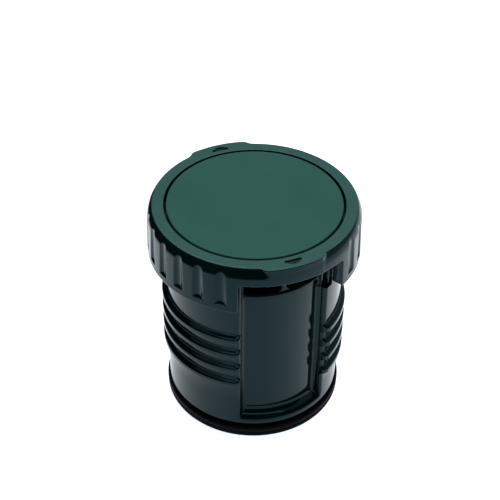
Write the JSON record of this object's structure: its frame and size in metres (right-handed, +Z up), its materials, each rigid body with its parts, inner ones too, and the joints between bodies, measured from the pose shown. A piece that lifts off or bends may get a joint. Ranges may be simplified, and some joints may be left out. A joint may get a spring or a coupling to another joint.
{
  "type": "vacuum flask stopper",
  "caption": "Screw-in pour-through stopper for a wide-mouth vacuum flask: fluted grip cap, threaded sleeve with two pour channels, foam-filled core and removable base seal.",
  "frame": {"origin": "centre of the seal ring's resting face, at the bottom of the stopper on its axis", "axes": "+Z up along the stopper's axis; -Y and +Y are the two pour directions marked by the arrows; -X and +X are the thread lands"},
  "size_m": [0.0594, 0.0588, 0.066],
  "materials": {
    "green_gloss": "deep green moulded polypropylene, glossy",
    "green_satin": "deep green moulded polypropylene, fine satin",
    "black_rubber": "black silicone rubber, low sheen",
    "grey_foam": "grey closed-cell adhesive foam",
    "cream_foam": "cream rigid insulation foam"
  },
  "bodies": {
    "stopper": {"grip_cap": "green_gloss", "top_disc": "green_satin", "disc_bonding_pad": "grey_foam", "thread_sleeve": "green_gloss", "core_cup": "green_gloss", "foam_core": "cream_foam", "mouth_gasket": "black_rubber", "base_plate": "green_gloss"},
    "seal": {"seal_ring": "black_rubber"}
  },
  "joints": [
    {"name": "seal_ring_pull_off", "type": "slide", "parent": "stopper", "child": "seal", "axis": [0, 0, -1], "range_m": [0, 0.008]}
  ]
}
